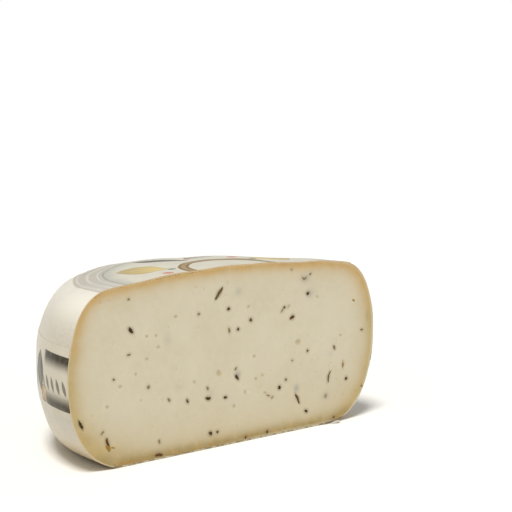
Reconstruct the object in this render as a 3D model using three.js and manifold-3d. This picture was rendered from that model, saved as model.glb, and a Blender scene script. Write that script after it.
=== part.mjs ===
// Half a wheel of goat cheese with truffle, cut from top to bottom through its middle.
// The paste carries truffle flecks and small eyes on the cut face. A thin coat of wax-like
// plastic covers the rind, and three printed films lie on the coat: one on the crown, one
// round the side and one under the base.
// Millimetres, +Z up. The cut face looks towards -Y and the round side towards +Y.

import * as THREE from 'three';
import { ParametricGeometry } from 'three/addons/geometries/ParametricGeometry.js';
import { mergeVertices } from 'three/addons/utils/BufferGeometryUtils.js';
import Module from 'manifold-3d';

// Driving dimensions of the wheel, over its coat
const WHEEL_RADIUS = 120;
const WHEEL_HEIGHT = 112;
const BELLY_HEIGHT = 54;
const CROWN_RADIUS = 93;
const CROWN_FALL = 0.22;
const SHOULDER_POWER = 2.24;
const FOOT_POWER = 2.08;
const FOOT_RADIUS = 97;
const FOOT_RADIUS_AT_CUT = 79;
const FOOT_SETTLES_OVER = THREE.MathUtils.degToRad(40);

// The skins that lie on the paste, and the air between two of them
const COAT_THICKNESS = 0.7;
const FILM_THICKNESS = 0.2;
const GAP = 0.15;

// The printed films
const TOP_FILM_RADIUS = 98;
const BASE_FILM_RADIUS = 92;
const SIDE_FILM_TOP = 74;
const SIDE_FILM_FOOT = 33;
const LOOSE_OVER = THREE.MathUtils.degToRad(25);

// How finely the round forms are stepped
const COLUMNS = 36;
const ROWS_TO_EDGE = [4, 4, 3, 2, 5, 1];

// Truffle flecks stand a little proud of the cut, eyes are shallow pits in it
const FLECK_PROUD = 0.35;
const FLECK_SUNK = 0.1;
const EYE_DEPTH = 0.8;

// The largest flecks: place across, place up, length, width, tilt in degrees
const LARGE_FLECKS = [
  [-12, 96.5, 8, 1.8, 52],
  [80.5, 30.5, 8, 1.4, 75],
  [53.5, 20.5, 8, 2.4, -58],
  [-111.5, 30, 6.5, 2.4, -65],
  [-93.5, 16, 6, 2.2, -72],
  [-56, 3.2, 5.5, 1.6, 2],
  [-77, 80.5, 5, 3, -35],
  [2.5, 42.5, 5, 2.8, -50],
  [92.5, 38, 5, 1.6, 88],
  [-19.5, 31.5, 4.4, 2.6, -15],
  [58, 98.5, 4.6, 2, -5],
  [47.5, 74.5, 4.2, 2.4, 12],
  [-3.5, 72, 4, 1.8, -70],
  [40, 81, 4, 1.6, 42],
  [-49, 35, 3.8, 1.8, -50],
  [-35.5, 32.5, 3.6, 2.2, -55],
  [85, 50.5, 3.6, 1.8, -60],
  [13.5, 76.5, 3.2, 2.2, -15],
  [-6, 30.3, 3.2, 2, 0],
  [-4, 85.5, 3, 2.4, 0],
  [61, 11.2, 3, 2.4, -20],
  [-17.5, 9.5, 2.8, 2.4, -50],
  [60.5, 89, 2.8, 2.4, 0],
  [38, 30, 2.8, 2.4, 0],
  [96, 28, 2.6, 2.4, 0],
  [-64, 45, 2.6, 2.4, 0],
  [-27, 85, 2.4, 2.2, 0],
];

// The widest eyes: place across, place up, length, width, tilt in degrees
const EYES = [
  [53.5, 57.5, 5, 4.2, 0],
  [27, 26.5, 5.5, 1.4, -25],
  [-11, 46, 4.2, 2.6, -50],
  [12, 85, 4, 2.6, 30],
  [17, 53, 3.2, 2.4, 0],
  [44.5, 82.5, 3, 1.6, 10],
  [-84, 48, 2.8, 1.6, 0],
  [-44, 85, 2.6, 2, 0],
];

// Small flecks fill the rest of the face in an even spread
const SMALL_FLECKS = 40;
const SMALL_FLECK_LENGTH = [1.4, 2.5];
const SMALL_FLECK_SLIMNESS = [0.6, 1];
const CLEAR_OF_RIM = 5;
const CLEAR_OF_OTHERS = 6;
const SPREAD_SHARES = { across: 0.7549, up: 0.5698, length: 0.618, width: 0.4142, tilt: 0.3247 };

const wasm = await Module();
wasm.setup();

const lerp = THREE.MathUtils.lerp;

// How far an angle round the axis lies behind the nearer end of the cut
function behindCut(angle) {
  return Math.min(angle, Math.PI - angle);
}

// The base is fully settled some way behind the cut, and drawn in at the cut itself
function footRadius(angle) {
  const settled = THREE.MathUtils.smoothstep(behindCut(angle), 0, FOOT_SETTLES_OVER);
  return lerp(FOOT_RADIUS_AT_CUT, FOOT_RADIUS, settled);
}

// Height of the crown and shoulder at a distance from the wheel's axis
function crestHeight(radius) {
  const beyondCrown = Math.max(radius - CROWN_RADIUS, 0) / (WHEEL_RADIUS - CROWN_RADIUS);
  const round = (1 - beyondCrown ** SHOULDER_POWER) ** (1 / SHOULDER_POWER);
  const dome = 1 - CROWN_FALL * (radius / WHEEL_RADIUS) ** 2;
  return BELLY_HEIGHT + (WHEEL_HEIGHT - BELLY_HEIGHT) * dome * round;
}

// Height of the underside at a distance from the axis and an angle round it
function soleHeight(radius, angle) {
  const foot = footRadius(angle);
  const beyondFoot = Math.max(radius - foot, 0) / (WHEEL_RADIUS - foot);
  return BELLY_HEIGHT * (1 - (1 - beyondFoot ** FOOT_POWER) ** (1 / FOOT_POWER));
}

// The outline as radius and height: station 0 is the top centre, 1 the end of the crown,
// 2 the widest line, 3 the end of the belly and 4 the centre of the base
function outline(station, angle) {
  const foot = footRadius(angle);
  if (station > 3) {
    return new THREE.Vector2((4 - station) * foot, 0);
  }
  if (station > 2) {
    const across = Math.cos((station - 2) * Math.PI / 2) ** (2 / FOOT_POWER);
    const radius = lerp(foot, WHEEL_RADIUS, across);
    return new THREE.Vector2(radius, soleHeight(radius, angle));
  }
  const across = Math.sin(Math.max(station - 1, 0) * Math.PI / 2) ** (2 / SHOULDER_POWER);
  const radius = Math.min(station, 1) * CROWN_RADIUS + (WHEEL_RADIUS - CROWN_RADIUS) * across;
  return new THREE.Vector2(radius, crestHeight(radius));
}

// The station between two others where a test on the outline stops being true
function stationWhere(test, from, to) {
  let [before, after] = [from, to];
  for (let halving = 0; halving < 30; halving += 1) {
    const middle = (before + after) / 2;
    if (test(outline(middle, 0))) {
      before = middle;
    } else {
      after = middle;
    }
  }
  return (before + after) / 2;
}

const topFilmEdge = stationWhere((point) => point.x < TOP_FILM_RADIUS, 1, 2);
const sideFilmTop = stationWhere((point) => point.y > SIDE_FILM_TOP, 1, 2);
const sideFilmFoot = stationWhere((point) => point.y > SIDE_FILM_FOOT, 2, 3);

// Rows of stations from the top centre to the base centre, with one on each film's edge
function wheelRows() {
  const edges = [0, topFilmEdge, sideFilmTop, 2, sideFilmFoot, 3, 4];
  const rows = [0];
  ROWS_TO_EDGE.forEach((count, part) => {
    for (let step = 1; step <= count; step += 1) {
      rows.push(lerp(edges[part], edges[part + 1], step / count));
    }
  });
  return rows;
}

// A point round the axis, exactly on the plane of the cut at either end of the half turn
function roundAxis(radius, angle, height) {
  return new THREE.Vector3(radius * Math.cos(angle), radius * Math.sin(behindCut(angle)), height);
}

// A point of the skin that runs parallel to the wheel's surface, an offset outside it
function skinPoint(station, angle, offset) {
  const nudge = 1e-4;
  const point = outline(station, angle);
  const before = outline(Math.max(station - nudge, 0), angle);
  const along = outline(Math.min(station + nudge, 4), angle).sub(before).normalize();
  const onAxis = station === 0 || station === 4;
  const radius = onAxis ? 0 : point.x - along.y * offset;
  return roundAxis(radius, angle, point.y + along.x * offset);
}

// A half wheel of solid stuff under a skin, or the slice of it between two rows. Each
// section runs down the skin and back up the axis. The first and last one are folded onto
// the axis, which makes the flat cut face.
function wheelBody(offset, rows) {
  const loop = [
    ...rows.map((row) => ({ row, onAxis: false })),
    ...rows.toReversed().map((row) => ({ row, onAxis: true })),
  ];
  const sections = COLUMNS + 2;
  const place = (u, v, target) => {
    const section = Math.round(v * sections);
    const column = THREE.MathUtils.clamp(section - 1, 0, COLUMNS);
    const stop = loop[Math.round(u * loop.length) % loop.length];
    target.copy(skinPoint(stop.row, Math.PI * column / COLUMNS, offset));
    if (stop.onAxis || section === 0 || section === sections) {
      target.set(0, 0, target.z);
    }
  };
  return toSolid(new ParametricGeometry(place, loop.length, sections));
}

// A pie slice of the base film's disc, seen from above and raised from low to high
function baseSlice(from, to, low, high) {
  const slice = new THREE.Shape();
  slice.lineTo(BASE_FILM_RADIUS * Math.cos(from), BASE_FILM_RADIUS * Math.sin(from));
  slice.absarc(0, 0, BASE_FILM_RADIUS, from, to);
  slice.closePath();
  const curveSegments = Math.ceil(COLUMNS * (to - from) / Math.PI);
  const geometry = new THREE.ExtrudeGeometry(slice, { depth: high - low, bevelEnabled: false, curveSegments });
  geometry.translate(0, 0, low);
  return toSolid(geometry);
}

// A triangle that has lost a corner to a pole or an axis is left out
function withoutCollapsed(index) {
  const kept = [];
  for (let i = 0; i < index.length; i += 3) {
    const [a, b, c] = index.slice(i, i + 3);
    if (a !== b && b !== c && c !== a) {
      kept.push(a, b, c);
    }
  }
  return new Uint32Array(kept);
}

function toSolid(geometry) {
  geometry.deleteAttribute('normal');
  geometry.deleteAttribute('uv');
  const merged = mergeVertices(geometry);
  return new wasm.Manifold(new wasm.Mesh({
    numProp: 3,
    vertProperties: new Float32Array(merged.attributes.position.array),
    triVerts: withoutCollapsed(Array.from(merged.index.array)),
  }));
}

function toMesh(name, solid, material) {
  const { vertProperties, triVerts } = solid.getMesh();
  const geometry = new THREE.BufferGeometry();
  geometry.setAttribute('position', new THREE.BufferAttribute(vertProperties, 3));
  geometry.setIndex(new THREE.BufferAttribute(triVerts, 1));
  geometry.computeVertexNormals();
  const mesh = new THREE.Mesh(geometry, material);
  mesh.name = name;
  return mesh;
}

// A rounded chip on the plane of the cut, a few sides round and flat towards the viewer
function chip([across, up, length, width, tilt], sides, depth, sunk) {
  const geometry = new THREE.SphereGeometry(1, sides, 4);
  geometry.scale(length / 2, depth, width / 2);
  geometry.rotateY(-THREE.MathUtils.degToRad(tilt));
  geometry.translate(across, sunk, up);
  return toSolid(geometry);
}

// A share from 0 to 1 that steps on evenly and doesn't repeat
function share(step, stride) {
  return (step * stride) % 1;
}

// One of the small flecks, placed between the underside and the crown
function smallFleck(step) {
  const { across, up, length, width, tilt } = SPREAD_SHARES;
  const reach = WHEEL_RADIUS - 2 * CLEAR_OF_RIM;
  const x = lerp(-reach, reach, share(step, across));
  const low = soleHeight(Math.abs(x), 0) + CLEAR_OF_RIM;
  const high = crestHeight(Math.abs(x)) - CLEAR_OF_RIM;
  const long = lerp(...SMALL_FLECK_LENGTH, share(step, length));
  const wide = long * lerp(...SMALL_FLECK_SLIMNESS, share(step, width));
  return [x, lerp(low, high, share(step, up)), long, wide, 180 * share(step, tilt)];
}

function isClear([x, z], others) {
  return others.every(([left, up]) => Math.hypot(x - left, z - up) > CLEAR_OF_OTHERS);
}

// The paste, with the truffle flecks fused to its cut face and the eyes cut into it
function makePaste() {
  const steps = Array.from({ length: SMALL_FLECKS }, (_, step) => step + 1);
  const small = steps.map(smallFleck).filter((fleck) => isClear(fleck, [...LARGE_FLECKS, ...EYES]));
  let paste = wheelBody(-COAT_THICKNESS - GAP, wheelRows());
  for (const fleck of [...LARGE_FLECKS, ...small]) {
    paste = paste.add(chip(fleck, 6, FLECK_PROUD + FLECK_SUNK, FLECK_SUNK));
  }
  for (const eye of EYES) {
    paste = paste.subtract(chip(eye, 7, EYE_DEPTH, 0));
  }
  const material = new THREE.MeshStandardMaterial({ color: 0xd8cba6, roughness: 0.55, metalness: 0 });
  return toMesh('cheese', paste, material);
}

function makeCoating() {
  const coat = wheelBody(0, wheelRows()).subtract(wheelBody(-COAT_THICKNESS, wheelRows()));
  const material = new THREE.MeshStandardMaterial({ color: 0xebe7dc, roughness: 0.38, metalness: 0 });
  return toMesh('coating', coat, material);
}

// A film's thickness all round the coat, between two of the wheel's rows
function filmShell(from, to) {
  const rows = wheelRows().filter((row) => row >= from && row <= to);
  return wheelBody(GAP + FILM_THICKNESS, rows).subtract(wheelBody(GAP, wheelRows()));
}

function makeTopFilm() {
  const material = new THREE.MeshStandardMaterial({ color: 0xc9c8c2, roughness: 0.45, metalness: 0 });
  return toMesh('top_film', filmShell(0, topFilmEdge), material);
}

function makeSideFilm() {
  const material = new THREE.MeshStandardMaterial({ color: 0xb9b8b2, roughness: 0.45, metalness: 0 });
  return toMesh('side_film', filmShell(sideFilmTop, sideFilmFoot), material);
}

// The film that the wheel stands on. It clings to the underside, but at the right end of
// the cut it has come loose and lies flat.
function makeBaseFilm() {
  const overlap = THREE.MathUtils.degToRad(1);
  const clinging = filmShell(2, 4)
    .intersect(baseSlice(LOOSE_OVER - overlap, Math.PI + overlap, -1, BELLY_HEIGHT / 2));
  const loose = baseSlice(0, LOOSE_OVER, -GAP - FILM_THICKNESS, -GAP);
  const material = new THREE.MeshStandardMaterial({ color: 0xe6e2d8, roughness: 0.5, metalness: 0 });
  return toMesh('base_film', clinging.add(loose), material);
}

// The origin is the centre of the base of the whole half wheel's box
const halfWheel = new THREE.Group();
const depth = WHEEL_RADIUS + GAP + FILM_THICKNESS + FLECK_PROUD;
halfWheel.position.set(0, FLECK_PROUD - depth / 2, GAP + FILM_THICKNESS);
halfWheel.add(makePaste(), makeCoating(), makeTopFilm(), makeSideFilm(), makeBaseFilm());

export default halfWheel;
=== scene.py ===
# %% [markdown]
# # Half a wheel of goat cheese with truffle
#
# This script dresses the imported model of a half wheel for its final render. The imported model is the
# fixed frame: it says how big the half wheel is and where it stands. Each piece made here is a finer
# version of one of its nodes and stays in the same place. Blender works in metres, but a cheese is
# easier to think about in millimetres, so the shapes are worked out in those and turned at the end.

import bmesh
import bpy
import numpy as np
from mathutils import Matrix, Quaternion, Vector


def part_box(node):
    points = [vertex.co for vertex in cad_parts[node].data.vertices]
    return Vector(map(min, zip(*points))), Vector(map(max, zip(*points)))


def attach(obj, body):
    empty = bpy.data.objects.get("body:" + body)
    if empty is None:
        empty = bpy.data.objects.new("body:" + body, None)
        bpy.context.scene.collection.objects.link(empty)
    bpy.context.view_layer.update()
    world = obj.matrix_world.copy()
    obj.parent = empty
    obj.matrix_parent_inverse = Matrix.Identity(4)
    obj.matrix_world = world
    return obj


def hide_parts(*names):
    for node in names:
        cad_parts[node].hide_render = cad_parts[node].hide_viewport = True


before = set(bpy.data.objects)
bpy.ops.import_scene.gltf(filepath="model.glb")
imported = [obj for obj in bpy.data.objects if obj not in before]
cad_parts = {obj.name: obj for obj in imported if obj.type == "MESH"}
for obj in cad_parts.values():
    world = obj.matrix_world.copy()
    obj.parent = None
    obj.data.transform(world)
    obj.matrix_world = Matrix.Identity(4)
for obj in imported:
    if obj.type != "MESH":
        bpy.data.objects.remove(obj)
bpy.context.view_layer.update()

MM = 0.001
print("nodes in the frame:", sorted(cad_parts))

# %% [markdown]
# ## The camera
#
# A long lens from a little above the table keeps the cut face broad and lets some of the side and
# the crown show. The camera stands back from the point it is aimed at. Its own z axis points back
# along that line, and a small roll turns it round the line, because the photo isn't quite level.

# %% Camera
CAMERA_AZIMUTH = np.radians(-39.75)
CAMERA_ELEVATION = np.radians(8.08)
CAMERA_ROLL = np.radians(0.55)
CAMERA_DISTANCE = 880.8
CAMERA_AIM = Vector((16.4, -61.3, 117.0))
CAMERA_LENS = 100.23
SIGHT_IN_METRES = 100
flat = np.cos(CAMERA_ELEVATION)
back = Vector((np.sin(CAMERA_AZIMUTH) * flat, -np.cos(CAMERA_AZIMUTH) * flat, np.sin(CAMERA_ELEVATION)))
place = (CAMERA_AIM + back * CAMERA_DISTANCE) * MM
rotation = back.to_track_quat("Z", "Y") @ Quaternion((0, 0, 1), CAMERA_ROLL)
camera = bpy.data.objects.new("camera", bpy.data.cameras.new("camera"))
camera.data.lens = CAMERA_LENS
camera.data.clip_end = SIGHT_IN_METRES
camera.matrix_world = Matrix.LocRotScale(place, rotation, None)
bpy.context.collection.objects.link(camera)
bpy.context.scene.camera = camera
print("camera at", [round(value, 4) for value in place])

# %% [markdown]
# ## The outline of the wheel
#
# The wheel was pressed in a round mould and has sagged a little since. Its outline is a low dome for
# the crown, a rounded shoulder, a widest line at the belly and a rounded foot. A superellipse draws
# both rounded stretches: like a circle, but with a power other than 2, which makes the corner fuller.
# Nothing presses on the cheese beyond the cut, so the dome is flatter there and the foot drawn in.

# %% Driving dimensions
coat_low, coat_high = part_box("coating")
WHEEL_RADIUS = (coat_high.x - coat_low.x) / 2 / MM
WHEEL_HEIGHT = (coat_high.z - coat_low.z) / MM
CUT_PLANE = coat_low.y / MM
TABLE_TO_COAT = coat_low.z / MM
BELLY_HEIGHT = 54
CROWN_RADIUS = 93
CROWN_FALL = 0.22
CROWN_FALL_AT_CUT = 0.178
CROWN_SETTLES_OVER = np.radians(30)
SHOULDER_POWER = 2.34
FOOT_POWER = 2.08
FOOT_RADIUS = 97
FOOT_AT_RIGHT = 82
FOOT_AT_LEFT = 81
FOOT_SETTLES_OVER = np.radians(40)
print(f"wheel {2 * WHEEL_RADIUS:.1f} mm across and {WHEEL_HEIGHT:.1f} mm high")


# %% Heights of the crown and of the underside
def eased(value, start, end):
    """Rises from 0 at start to 1 at end without a kink: 3 t² - 2 t³ of the share t of the way."""
    share = np.clip((value - start) / (end - start), 0, 1)
    return share * share * (3 - 2 * share)


def superellipse(share, power):
    """How high a rounded corner still is at a share of the way out: (1 - share^n)^(1/n)."""
    return (1 - share**power) ** (1 / power)


def behind_cut(angle):
    """How far an angle round the axis lies behind the nearer end of the cut."""
    return np.minimum(angle, np.pi - angle)


def foot_radius(angle):
    """How far out the wheel touches the table: less at both ends of the cut than behind it."""
    settled = eased(behind_cut(angle), 0, FOOT_SETTLES_OVER)
    at_cut = np.where(angle < np.pi / 2, FOOT_AT_RIGHT, FOOT_AT_LEFT)
    return at_cut + (FOOT_RADIUS - at_cut) * settled


def crest_height(radius, angle, out):
    """Height of the upper skin that lies out millimetres outside the coat: a dome that falls with
    the square of the radius, times the superellipse beyond the crown."""
    beyond = np.clip((radius - CROWN_RADIUS) / (WHEEL_RADIUS + out - CROWN_RADIUS), 0, 1)
    settled = eased(behind_cut(angle), 0, CROWN_SETTLES_OVER)
    fall = CROWN_FALL_AT_CUT + (CROWN_FALL - CROWN_FALL_AT_CUT) * settled
    dome = 1 - fall * (radius / WHEEL_RADIUS) ** 2
    return BELLY_HEIGHT + (WHEEL_HEIGHT + out - BELLY_HEIGHT) * dome * superellipse(beyond, SHOULDER_POWER)


def sole_height(radius, angle, out):
    """Height of the lower skin: flat as far as the foot, then the same kind of superellipse."""
    foot = foot_radius(angle)
    beyond = np.clip((radius - foot) / (WHEEL_RADIUS + out - foot), 0, 1)
    return BELLY_HEIGHT - (BELLY_HEIGHT + out) * superellipse(beyond, FOOT_POWER)


# %% [markdown]
# ## Skins that follow the wheel
#
# Paste, coat and films all lie on one another, so they are all skins of the same wheel at different
# distances from it. A real wheel is never quite true: hands, shelves and turning leave low swells.
# Every skin is moved by the same swells, square to the outline, so none pokes through the next.

# %% Swells
SWELL_COUNT = 14
SWELL_LENGTHS = (16, 70)
SWELL_HEIGHT = 0.09
SWELLS_START_AT = (2, 20)
draw = np.random.default_rng(11)
swell_ways = draw.normal(size=(SWELL_COUNT, 3))
swell_ways *= 1 / np.linalg.norm(swell_ways, axis=1)[:, None]
swell_lengths = draw.uniform(*SWELL_LENGTHS, SWELL_COUNT)
swell_starts = draw.uniform(0, 2 * np.pi, SWELL_COUNT)


def swell(points):
    """Sum of sine waves that cross the wheel in all directions: height sin(2 pi way . point / length
    + start), each in proportion to its length. The base stays flat on the table."""
    turns = points @ (2 * np.pi * swell_ways / swell_lengths[:, None]).T + swell_starts
    waves = np.sin(turns) @ (swell_lengths / swell_lengths.mean())
    return SWELL_HEIGHT * waves * eased(points[..., 2], *SWELLS_START_AT)


# %% Points and skins on the wheel
UPWARDS = np.array([0, 0, 1])
HALF_TURN_STEPS = 180


def sidewards(angle):
    """Unit vectors straight out from the axis. Both ends of the half turn lie exactly in the plane
    of the cut, at y = 0."""
    return np.stack([np.cos(angle), np.sin(behind_cut(angle)), np.zeros(angle.shape)], axis=-1)


def outwards(radius, angle, height):
    """Unit vectors square to the outline. They are the slope of the superellipse's own formula: the
    share of the way to its edge, to the power less one, over its half width."""
    upper = height > BELLY_HEIGHT
    reach = np.where(upper, WHEEL_RADIUS - CROWN_RADIUS, WHEEL_RADIUS - foot_radius(angle))
    rise = np.where(upper, WHEEL_HEIGHT - BELLY_HEIGHT, BELLY_HEIGHT)
    power = np.where(upper, SHOULDER_POWER, FOOT_POWER)
    across = np.clip((radius - WHEEL_RADIUS + reach) / reach, 0, 1) ** (power - 1) / reach
    up = np.clip(np.abs(height - BELLY_HEIGHT) / rise, 0, 1) ** (power - 1) / rise
    length = np.hypot(across, up)
    lift = np.where(upper, up, -up) / length
    return sidewards(angle) * (across / length)[..., None] + UPWARDS * lift[..., None]


def on_wheel(radius, angle, height):
    """Points at a radius, angle and height, moved by the swells."""
    radius, angle, height = np.broadcast_arrays(radius, angle, height)
    points = sidewards(angle) * radius[..., None] + UPWARDS * height[..., None]
    return points + outwards(radius, angle, height) * swell(points)[..., None]


def upper_radius(station, out):
    """Distance from the axis at stations 0 to 2: even over the crown, then the superellipse's sine."""
    shoulder = np.sin(np.clip(station - 1, 0, 1) * np.pi / 2) ** (2 / SHOULDER_POWER)
    return np.minimum(station, 1) * CROWN_RADIUS + (WHEEL_RADIUS + out - CROWN_RADIUS) * shoulder


def skin(station, angle, out):
    """Grid of points, a row for each station down the outline and a column for each angle round it.
    Station 0 is the top centre, 1 the end of the crown, 2 the widest line, 3 the foot and 4 the
    centre of the base. Between 2 and 3 the radius follows the superellipse's cosine."""
    station = np.asarray(station)[:, None]
    foot = foot_radius(angle)
    belly = np.cos(np.clip(station - 2, 0, 1) * np.pi / 2) ** (2 / FOOT_POWER)
    lower = (foot + (WHEEL_RADIUS + out - foot) * belly) * np.clip(4 - station, 0, 1)
    radius = np.where(station < 2, upper_radius(station, out), lower)
    height = np.where(station < 2, crest_height(radius, angle, out), sole_height(radius, angle, out))
    return on_wheel(radius, angle, height)


def stations(edges, counts):
    """Stations from the first edge to the last, with a count of even steps between each two."""
    parts = [np.linspace(a, b, n, endpoint=False) for a, b, n in zip(edges, edges[1:], counts)]
    return np.concatenate([*parts, edges[-1:]])


half_turn = np.linspace(0, np.pi, HALF_TURN_STEPS + 1)
swells_on_top = swell(skin(np.linspace(0, 2, 60), half_turn, 0))
print(f"swells from {swells_on_top.min():.2f} to {swells_on_top.max():.2f} mm")

# %% [markdown]
# ## From grids to closed meshes
#
# A grid of points becomes a mesh by numbering the points row by row and joining each four neighbours.
# Rows run down the wheel and columns run round it anticlockwise, so that the faces look outwards. Where
# a whole row meets in one point, as at the top centre, welding turns its four-sided faces into
# three-sided ones and closes the seam. The arrays go into the mesh whole, which is quick.

# %% Grids and meshes
SHARP_OVER = np.radians(35)
MILLILITRE = (10 * MM) ** 3


def grid_quads(rows, columns):
    """Corner numbers of a grid's faces, which look along row direction x column direction."""
    corner = np.arange(rows - 1)[:, None] * columns + np.arange(columns - 1)
    quads = np.stack([corner, corner + columns, corner + columns + 1, corner + 1], axis=-1)
    return quads.reshape(-1, 4)


def border(rows, columns):
    """Point numbers once round a grid's border: the first row, the last column and back."""
    number = np.arange(rows * columns).reshape(rows, columns)
    return np.concatenate([number[0, :-1], number[:-1, -1], number[-1, :0:-1], number[:0:-1, 0]])


def make_piece(name, points, quads, fields=None, weld=0.0002):
    """A mesh object from points in the wheel's millimetres and four-sided faces. Fields are numbers
    for each point that its material reads. Points closer than weld millimetres become one."""
    mesh = bpy.data.meshes.new(name)
    points = (points.reshape(-1, 3) + np.array([0, CUT_PLANE, TABLE_TO_COAT])) * MM
    mesh.vertices.add(len(points))
    mesh.vertices.foreach_set("co", points.ravel())
    mesh.loops.add(quads.size)
    mesh.loops.foreach_set("vertex_index", quads.ravel())
    mesh.polygons.add(len(quads))
    mesh.polygons.foreach_set("loop_start", np.arange(0, quads.size, 4))
    for field, values in (fields or {}).items():
        mesh.attributes.new(field, "FLOAT", "POINT").data.foreach_set("value", values.ravel())
    mesh.update()
    welded = bmesh.new()
    welded.from_mesh(mesh)
    bmesh.ops.remove_doubles(welded, verts=welded.verts, dist=weld * MM)
    volume = welded.calc_volume(signed=True) / MILLILITRE
    welded.to_mesh(mesh)
    welded.free()
    mesh.polygons.foreach_set("use_smooth", np.ones(len(mesh.polygons), bool))
    mesh.set_sharp_from_angle(angle=SHARP_OVER)
    piece = bpy.data.objects.new(name, mesh)
    bpy.context.collection.objects.link(piece)
    triangles = sum(len(face.vertices) - 2 for face in mesh.polygons)
    print(f"{name}: {triangles} triangles, {volume:.1f} ml")
    return piece


def shell(name, outer, inner):
    """A closed thin wall between two grids of the same size: the outer one, the inner one turned
    round, and a strip of faces along their borders."""
    rows, columns = outer.shape[:2]
    count = rows * columns
    quads = grid_quads(rows, columns)
    edge = border(rows, columns)
    after = np.roll(edge, -1)
    strip = np.stack([edge, after, after + count, edge + count], axis=-1)
    points = np.concatenate([outer.reshape(-1, 3), inner.reshape(-1, 3)])
    return make_piece(name, points, np.concatenate([quads, quads[:, ::-1] + count, strip]))


def join_model(piece, finish, node):
    """Gives a piece its finish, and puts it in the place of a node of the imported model."""
    piece.data.materials.append(finish)
    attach(piece, "root")
    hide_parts(node)


# %% [markdown]
# ## Writing a material as sums
#
# A procedural material is a net of nodes. Written node by node it is long and hard to read, so two
# small classes let it be written as sums. A Shade is a value on its way through the net: adding or
# multiplying Shades adds Math nodes. A Recipe is the material itself and adds every other node. Most
# surfaces here are painted in layers: a ground, then colours laid over it, each by its own share.


# %% Shade
def math_node(operation):
    """A method that joins a Shade and the values beside it with one Math node."""

    def join(shade, *others):
        inputs = dict(enumerate((shade, *others)))
        return shade.recipe.node("Math", {"operation": operation}, inputs)

    return join


class Shade:
    """A value on its way through a material's nodes."""

    def __init__(self, recipe, socket):
        self.recipe = recipe
        self.socket = socket

    __add__ = __radd__ = math_node("ADD")
    __mul__ = __rmul__ = math_node("MULTIPLY")
    __sub__ = math_node("SUBTRACT")
    __truediv__ = math_node("DIVIDE")
    __pow__ = math_node("POWER")
    __mod__ = math_node("FLOORED_MODULO")
    __abs__ = math_node("ABSOLUTE")
    sine = math_node("SINE")
    arctan2 = math_node("ARCTAN2")

    def __rsub__(self, other):
        return self * -1 + other

    def rise(self, start, end):
        """Eases from 0 at start to 1 at end. Where start is the larger, it falls as the value grows."""
        low, high = min(start, end), max(start, end)
        ends = {"To Min": float(start > end), "To Max": float(start < end)}
        inputs = {"Value": self, "From Min": low, "From Max": high, **ends}
        return self.recipe.node("MapRange", {"interpolation_type": "SMOOTHSTEP"}, inputs)


# %% Colours
def linear_light(colour):
    """A photograph's colour in the linear light that Blender's sockets take: c / 12.92 in the dark
    and ((c + 0.055) / 1.055)^2.4 above, where c is the share of 255."""
    shares = np.array(colour) / 255
    linear = np.where(shares <= 0.04045, shares / 12.92, ((shares + 0.055) / 1.055) ** 2.4)
    return (*linear.tolist(), 1.0)


# %% Recipe
class Recipe:
    """A material being written. Its methods add nodes and hand back what comes out of them."""

    def __init__(self, name, uniform):
        """Uniform holds the values that are the same all over the surface, by their sockets' names."""
        self.material = bpy.data.materials.new(name)
        self.material.use_nodes = True
        self.tree = self.material.node_tree
        self.shader = next(node for node in self.tree.nodes if node.type == "BSDF_PRINCIPLED")
        for socket, value in uniform.items():
            self.shader.inputs[socket].default_value = value

    def node(self, kind, settings=None, inputs=None, output=0):
        """Adds a shader node of a kind: first its settings, then the values and links of its sockets."""
        node = self.tree.nodes.new("ShaderNode" + kind)
        for name, value in (settings or {}).items():
            setattr(node, name, value)
        for name, value in (inputs or {}).items():
            self.feed(node.inputs[name], value)
        return Shade(self, node.outputs[output])

    def feed(self, socket, value):
        """Links a Shade to a socket, or sets a plain value on it."""
        if isinstance(value, Shade):
            self.tree.links.new(value.socket, socket)
        else:
            socket.default_value = value

    def place(self):
        """Where a point is, in metres in the frame."""
        return self.node("TexCoord", output="Object")

    def wheel_place(self):
        """Where a point is in the wheel's millimetres, as x, y and z."""
        scale = {"operation": "MULTIPLY_ADD"}
        shift = (0, -CUT_PLANE, -TABLE_TO_COAT)
        moved = self.node("VectorMath", scale, {0: self.place(), 1: (1 / MM,) * 3, 2: shift})
        return [self.node("SeparateXYZ", {}, {0: moved}, output=axis) for axis in range(3)]

    def field(self, name):
        """A field of numbers that the piece's mesh carries."""
        return self.node("Attribute", {"attribute_name": name}, output="Fac")

    def noise(self, size, detail=2, stretch=(1, 1, 1), roughness=0.5):
        """Soft random variation from 0 to 1, with spots of a size in millimetres."""
        scale = tuple(1 / (size * MM * factor) for factor in stretch)
        place = self.node("VectorMath", {"operation": "MULTIPLY"}, {0: self.place(), 1: scale})
        inputs = {"Vector": place, "Scale": 1, "Detail": detail, "Roughness": roughness}
        return self.node("TexNoise", {}, inputs, output="Fac")

    def mix(self, share, first, second):
        """A colour that is the first one where the share is 0 and the second one where it is 1. A
        plain colour is written as it is read off a photograph, from 0 to 255."""
        first, second = (one if isinstance(one, Shade) else linear_light(one) for one in (first, second))
        settings = {"data_type": "RGBA", "clamp_factor": True}
        return self.node("Mix", settings, {0: share, 6: first, 7: second}, output=2)

    def layers(self, ground, *layers):
        """Colours laid over a ground one after another, each by its own share."""
        for share, layer in layers:
            ground = self.mix(share, ground, layer)
        return ground

    def bump(self, height, depth, strength=0.5):
        """A normal from a height of 0 to 1 that stands for a depth in millimetres."""
        inputs = {"Height": height, "Distance": depth * MM, "Strength": strength}
        return self.node("Bump", {}, inputs)

    def finish(self, colour, roughness, normal=None):
        """Feeds the shader and hands back the finished material."""
        self.feed(self.shader.inputs["Base Color"], colour)
        self.feed(self.shader.inputs["Roughness"], roughness)
        if normal:
            self.feed(self.shader.inputs["Normal"], normal)
        return self.material


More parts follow.
